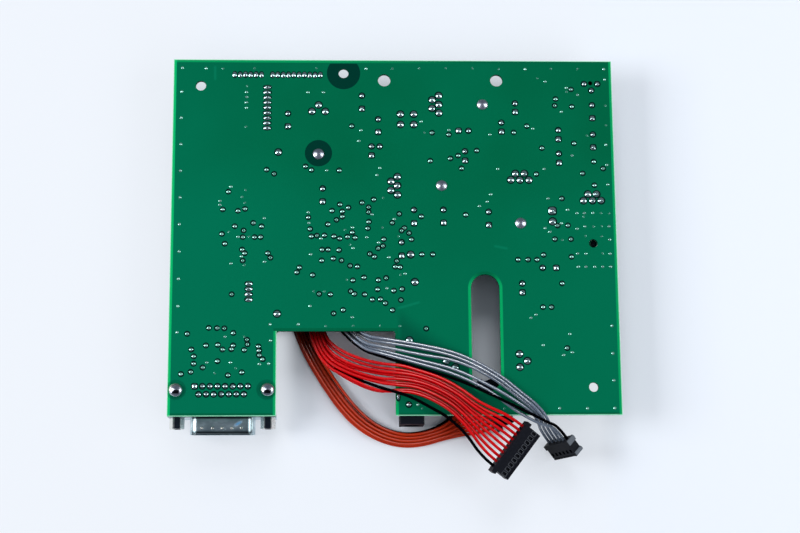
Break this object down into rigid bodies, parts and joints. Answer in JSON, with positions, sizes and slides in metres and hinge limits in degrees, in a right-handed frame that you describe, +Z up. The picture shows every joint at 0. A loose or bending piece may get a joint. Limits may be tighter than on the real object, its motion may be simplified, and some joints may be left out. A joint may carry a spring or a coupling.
{
  "type": "power supply board",
  "caption": "Green power supply circuit board, soldered side up, with a D connector, a supply jack, and three wire harnesses with loose plugs.",
  "frame": {"origin": "centre of the board's and D connector's own outline on the surface it lies on, without the loose harnesses", "axes": "+X to the right as the D connector faces the viewer at the left, +Y away from the D connector's face, +Z up, out of the soldered side"},
  "size_m": [0.166, 0.1585, 0.0185],
  "materials": {
    "board": "green solder mask over glass fibre laminate, satin",
    "rivet": "satin",
    "solder": "bright solder",
    "tinned_steel": "tinned, satin",
    "contact": "gold-coloured plating",
    "black_plastic": "moulded",
    "package_black": "moulded, with a tinned tab",
    "can_sleeve": "shrink sleeve",
    "film_box": "dipped",
    "ferrite": "matte",
    "copper_wire": "enamelled copper wire",
    "ceramic": "matte",
    "resistor_body": "painted",
    "cream_plastic": "natural nylon",
    "red_insulation": "soft, satin",
    "orange_insulation": "soft, satin",
    "grey_insulation": "soft, satin",
    "black_insulation": "soft, satin"
  },
  "bodies": {
    "root": {"axial_parts": "resistor_body", "chip_parts": "ceramic", "choke_core": "ferrite", "choke_windings": "copper_wire", "circuit_board": "board", "dsub_brackets": "tinned_steel", "dsub_contacts": "contact", "dsub_insulator": "black_plastic", "dsub_shell": "tinned_steel", "film_capacitors": "film_box", "grey_harness_wire_1": "black_insulation", "grey_harness_wire_2": "grey_insulation", "grey_harness_wire_3": "grey_insulation", "grey_harness_wire_4": "grey_insulation", "grey_harness_wire_5": "grey_insulation", "grey_harness_wire_6": "grey_insulation", "grey_plug": "black_plastic", "integrated_circuits": "black_plastic", "jack_body": "black_plastic", "jack_pin": "contact", "jack_screws": "tinned_steel", "nine_pin_header": "cream_plastic", "nine_way_plug": "cream_plastic", "open_headers": "cream_plastic", "orange_harness_wire_1": "black_insulation", "orange_harness_wire_2": "orange_insulation", "orange_harness_wire_3": "orange_insulation", "orange_harness_wire_4": "orange_insulation", "orange_harness_wire_5": "orange_insulation", "orange_harness_wire_6": "orange_insulation", "orange_harness_wire_7": "orange_insulation", "orange_harness_wire_8": "orange_insulation", "orange_harness_wire_9": "orange_insulation", "orange_plug": "black_plastic", "power_transistor": "package_black", "red_harness_wire_1": "black_insulation", "red_harness_wire_10": "red_insulation", "red_harness_wire_2": "red_insulation", "red_harness_wire_3": "red_insulation", "red_harness_wire_4": "red_insulation", "red_harness_wire_5": "red_insulation", "red_harness_wire_6": "red_insulation", "red_harness_wire_7": "red_insulation", "red_harness_wire_8": "red_insulation", "red_harness_wire_9": "red_insulation", "red_plug": "black_plastic", "regulator_1": "package_black", "regulator_2": "package_black", "regulator_3": "package_black", "regulator_4": "package_black", "regulator_5": "package_black", "six_pin_header": "cream_plastic", "six_way_plug": "cream_plastic", "small_capacitors": "can_sleeve", "solder_joints": "solder", "tab_rivets": "rivet", "tall_capacitors": "can_sleeve", "ten_pin_header": "cream_plastic", "ten_way_plug": "cream_plastic", "trimmer": "black_plastic"}
  },
  "joints": []
}
